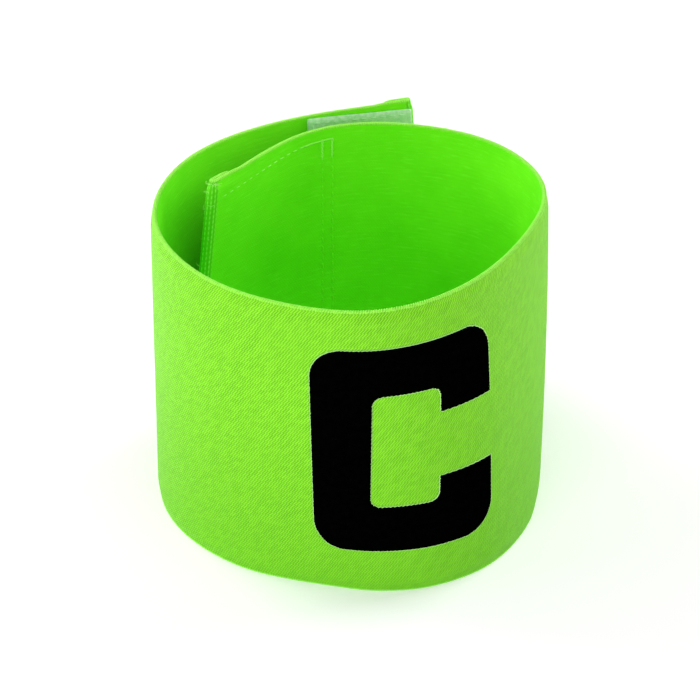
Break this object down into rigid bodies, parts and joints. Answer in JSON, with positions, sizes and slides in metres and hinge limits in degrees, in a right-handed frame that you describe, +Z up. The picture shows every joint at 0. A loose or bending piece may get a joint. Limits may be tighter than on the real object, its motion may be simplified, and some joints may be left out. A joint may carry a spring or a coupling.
{
  "type": "captain armband",
  "caption": "Wide woven elastic armband, rolled into an open overlapping loop, with hook and loop tape at its ends and a block C on the front.",
  "frame": {"origin": "on the surface that the band stands on, under the middle of the whole object's box", "axes": "+Z up along the loop's axis, -Y towards the front with the letter, +X to the right as seen from the front"},
  "size_m": [0.0864, 0.1032, 0.07],
  "materials": {
    "elastic": "matte woven elastic with fine ribs",
    "hook_tape": "satin",
    "loop_tape": "brushed loop pile",
    "letter_print": "matte print on cloth"
  },
  "bodies": {
    "root": {"band": "elastic", "hook_tape": "hook_tape", "loop_tape": "loop_tape", "captain_letter": "letter_print"}
  },
  "joints": []
}
